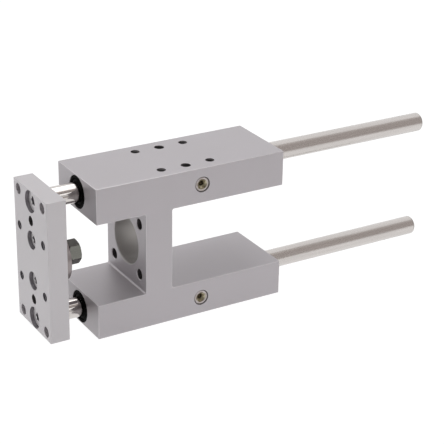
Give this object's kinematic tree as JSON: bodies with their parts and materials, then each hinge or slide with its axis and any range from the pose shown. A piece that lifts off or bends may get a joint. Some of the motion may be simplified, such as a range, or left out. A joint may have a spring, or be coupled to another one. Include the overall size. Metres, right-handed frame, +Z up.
{
  "type": "guided pneumatic cylinder",
  "caption": "Guide unit for a pneumatic cylinder: an H-shaped housing, guide rods on plain bushes, a front plate and a floating rod coupling.",
  "frame": {"origin": "centre of the cylinder's pilot bore, on the rear face of the web", "axes": "+X to the rear, along the cylinder and the rods' free ends; -Y towards the grease nipples; +Z up"},
  "size_m": [0.2758, 0.05, 0.095],
  "materials": {
    "housing_aluminium": "satin anodised",
    "plate_aluminium": "satin anodised",
    "chromed_rod": "ground, hard chromed",
    "bush_bronze": "sintered, oil filled",
    "wiper_rubber": "matt black",
    "nipple_zinc": "yellow zinc",
    "screw_steel": "black oxide",
    "flange_steel": "turned",
    "hard_steel": "hardened, ground",
    "coupling_steel": "turned and milled"
  },
  "bodies": {
    "housing": {"housing": "housing_aluminium", "front_bush_upper": "bush_bronze", "rear_bush_upper": "bush_bronze", "front_wiper_upper": "wiper_rubber", "rear_wiper_upper": "wiper_rubber", "grease_nipple_upper": "nipple_zinc", "front_bush_lower": "bush_bronze", "rear_bush_lower": "bush_bronze", "front_wiper_lower": "wiper_rubber", "rear_wiper_lower": "wiper_rubber", "grease_nipple_lower": "nipple_zinc"},
    "carriage": {"front_plate": "plate_aluminium", "guide_rod_upper": "chromed_rod", "guide_rod_lower": "chromed_rod", "rod_screws": "screw_steel", "coupling_flange": "flange_steel", "thrust_disc": "hard_steel", "coupling_screws": "screw_steel"},
    "coupling": {"coupling_collar": "hard_steel", "coupling_nut": "coupling_steel"}
  },
  "joints": [
    {"name": "stroke", "type": "slide", "parent": "housing", "child": "carriage", "axis": [-1, 0, 0], "range_m": [-0.0168, 0.1]},
    {"name": "coupling_turn", "type": "hinge", "parent": "carriage", "child": "coupling", "pos_m": [-0.058, 0, 0], "axis": [1, 0, 0], "continuous": true}
  ]
}
